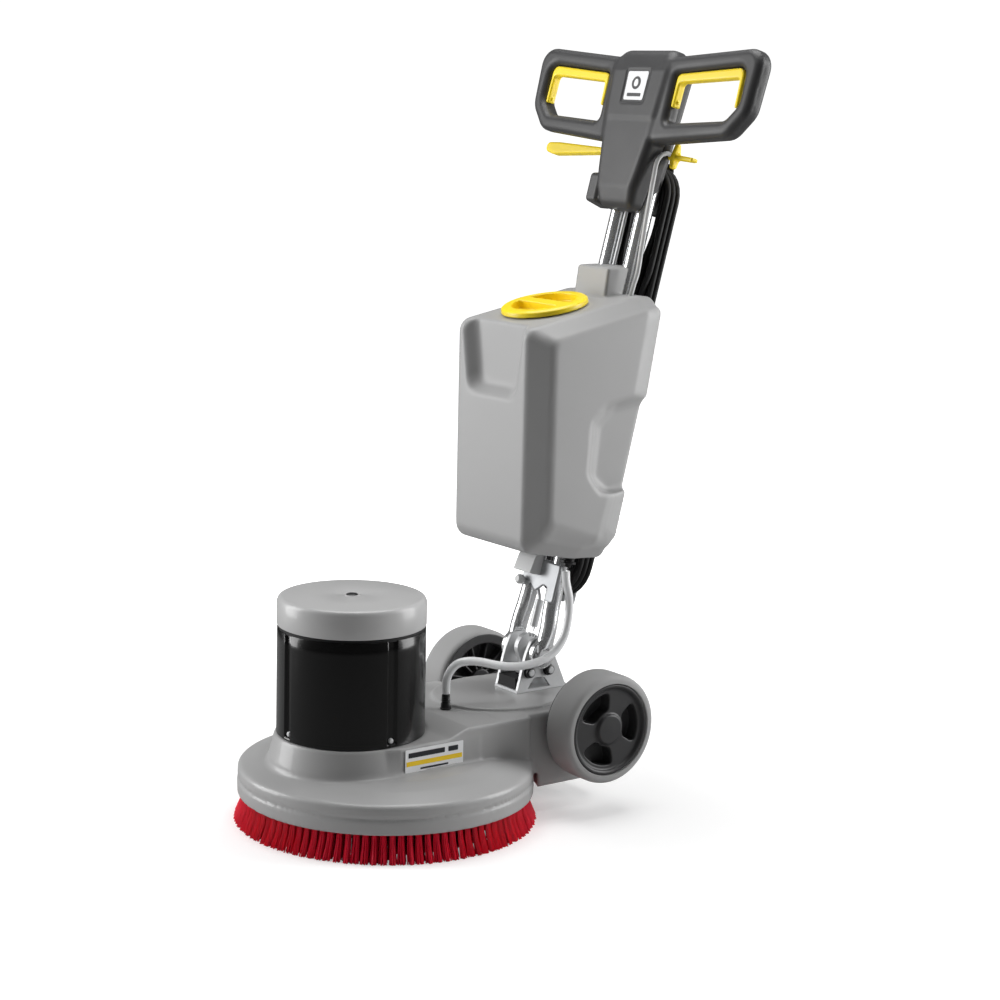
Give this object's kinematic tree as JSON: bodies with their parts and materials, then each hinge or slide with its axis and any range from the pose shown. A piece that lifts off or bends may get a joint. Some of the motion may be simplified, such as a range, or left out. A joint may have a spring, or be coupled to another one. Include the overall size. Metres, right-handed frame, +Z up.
{
  "type": "rotary floor scrubber",
  "caption": "Upright rotary floor scrubber: a wide disc brush under an offset motor, a tilting tube mast with water tank, transport wheels and a twin-grip head",
  "frame": {"origin": "on the floor, under the middle of the machine", "axes": "+Z up, -Y forward (motor end), +Y towards the operator, +X the side with the water lever"},
  "size_m": [0.488, 0.7057, 1.0759],
  "materials": {
    "deck_grey": "satin paint on a cast alloy",
    "tank_grey": "matt polyethylene",
    "head_grey": "fine grain",
    "gloss_black": "gloss",
    "black_plastic": "satin",
    "black_rubber": "matt",
    "tyre_grey": "matt",
    "rim_grey": "satin",
    "signal_yellow": "satin gloss",
    "bristle_red": "nylon bristle",
    "block_beige": "matt",
    "pale_plastic": "satin",
    "chrome": "mirror polished",
    "zinc_steel": "zinc plated",
    "cast_aluminium": "as cast",
    "winding": "laminations and enamelled wire",
    "clear_hose": "translucent PVC"
  },
  "bodies": {
    "base": {"deck_housing": "deck_grey", "gear_case_lid": "cast_aluminium", "spindle_bearing": "zinc_steel", "start_capacitor": "pale_plastic", "motor_shell": "gloss_black", "motor_end_shield": "cast_aluminium", "motor_bearing_lower": "zinc_steel", "motor_bearing_upper": "zinc_steel", "motor_stator": "winding", "motor_cap": "deck_grey", "wheel_axle": "zinc_steel", "base_bracket": "zinc_steel", "bracket_bolt_front": "zinc_steel", "bracket_bolt_rear": "zinc_steel", "lock_sector": "zinc_steel", "cable_boot": "black_rubber", "pivot_pin": "zinc_steel", "hose_fitting": "black_plastic", "water_hose": "clear_hose"},
    "brush": {"brush_bristles": "bristle_red", "brush_block": "block_beige", "drive_plate": "zinc_steel", "brush_spindle": "zinc_steel", "drive_gear": "zinc_steel"},
    "rotor": {"rotor_core": "zinc_steel", "motor_shaft": "zinc_steel", "drive_pinion": "zinc_steel", "cooling_fan": "black_plastic"},
    "right_wheel": {"wheel_rim_right": "rim_grey", "wheel_tyre_right": "tyre_grey"},
    "left_wheel": {"wheel_rim_left": "rim_grey", "wheel_tyre_left": "tyre_grey"},
    "mast": {"mast_tube_right": "chrome", "mast_tube_left": "chrome", "mast_crosspiece": "cast_aluminium", "tank_clip": "pale_plastic", "head_front_cover": "head_grey", "head_rear_cover": "head_grey", "head_side_box": "head_grey", "grip_right": "head_grey", "grip_left": "head_grey", "switch_block": "black_plastic", "cord_gland": "black_rubber", "water_tank": "tank_grey", "valve_body": "black_plastic", "cord_hank": "black_rubber", "cord_lead": "black_rubber", "cord_tail": "black_rubber", "mains_plug": "black_rubber"},
    "right_trigger": {"trigger_right": "signal_yellow"},
    "left_trigger": {"trigger_left": "signal_yellow"},
    "tilt_release": {"tilt_lever": "signal_yellow"},
    "plunger": {"lock_plunger": "chrome"},
    "water_control": {"water_lever": "signal_yellow"},
    "valve_rod": {"water_rod": "zinc_steel"},
    "cap_seat": {"filler_seal": "black_rubber"},
    "cap": {"filler_cap": "signal_yellow"},
    "cord_hook": {"cable_hook_upper": "black_rubber"},
    "button": {"safety_button": "signal_yellow"},
    "knob": {"clamp_knob": "pale_plastic"}
  },
  "joints": [
    {"name": "brush_spin", "type": "hinge", "parent": "base", "child": "brush", "pos_m": [0, -0.138, 0.05], "axis": [0, 0, 1], "continuous": true},
    {"name": "rotor_spin", "type": "hinge", "parent": "base", "child": "rotor", "pos_m": [0, -0.198, 0.2], "axis": [0, 0, 1], "continuous": true},
    {"name": "wheel_right_spin", "type": "hinge", "parent": "base", "child": "right_wheel", "pos_m": [0.153, 0.122, 0.128], "axis": [1, 0, 0], "continuous": true},
    {"name": "wheel_left_spin", "type": "hinge", "parent": "base", "child": "left_wheel", "pos_m": [-0.153, 0.122, 0.128], "axis": [1, 0, 0], "continuous": true},
    {"name": "handle_tilt", "type": "hinge", "parent": "base", "child": "mast", "pos_m": [0, 0.109, 0.208], "axis": [-1, 0, 0], "range_deg": [-15, 45]},
    {"name": "trigger_right_squeeze", "type": "hinge", "parent": "mast", "child": "right_trigger", "pos_m": [0.139, 0.28747, 0.99772], "axis": [-1, 0, 0], "range_deg": [0, 10], "stiffness_Nm_per_rad": 1.5},
    {"name": "trigger_left_squeeze", "type": "hinge", "parent": "mast", "child": "left_trigger", "pos_m": [-0.139, 0.28747, 0.99772], "axis": [-1, 0, 0], "range_deg": [0, 10], "stiffness_Nm_per_rad": 1.5},
    {"name": "tilt_lever_lift", "type": "hinge", "parent": "mast", "child": "tilt_release", "pos_m": [-0.047, 0.30053, 0.92279], "axis": [0, 0.9659, -0.2588], "range_deg": [0, 10], "stiffness_Nm_per_rad": 2.5, "springref_deg": -6.88},
    {"name": "lock_release", "type": "slide", "parent": "mast", "child": "plunger", "axis": [0, 0.2588, 0.9659], "range_m": [0, 0.0062]},
    {"name": "water_lever_turn", "type": "hinge", "parent": "mast", "child": "water_control", "pos_m": [0.074, 0.30439, 0.92175], "axis": [-1, 0, 0], "range_deg": [0, 33]},
    {"name": "valve_rod_lift", "type": "slide", "parent": "mast", "child": "valve_rod", "axis": [0, 0.2588, 0.9659], "range_m": [0, 0.00497]},
    {"name": "cap_lift", "type": "slide", "parent": "mast", "child": "cap_seat", "axis": [0, -0.1956, 0.9807], "range_m": [0, 0.06]},
    {"name": "cap_turn", "type": "hinge", "parent": "cap_seat", "child": "cap", "pos_m": [0, 0.1237, 0.7051], "axis": [0, -0.1956, 0.9807], "range_deg": [0, 90]},
    {"name": "cord_hook_turn", "type": "hinge", "parent": "mast", "child": "cord_hook", "pos_m": [0, 0.31397, 0.85707], "axis": [0, 0.9659, -0.2588], "range_deg": [0, 180]},
    {"name": "safety_button_press", "type": "slide", "parent": "mast", "child": "button", "axis": [0, -0.9659, 0.2588], "range_m": [0, 0.004], "stiffness_N_per_m": 300, "springref_m": -0.001},
    {"name": "clamp_knob_turn", "type": "hinge", "parent": "mast", "child": "knob", "pos_m": [-0.024, 0.10996, 0.30817], "axis": [0, 0.9659, -0.2588], "continuous": true}
  ],
  "couplings": [
    {"joint": "rotor_spin", "follows": "brush_spin", "ratio": -9},
    {"joint": "lock_release", "follows": "tilt_lever_lift", "m_per_rad": 0.035},
    {"joint": "water_lever_turn", "follows": "valve_rod_lift", "rad_per_m": 105.2}
  ]
}
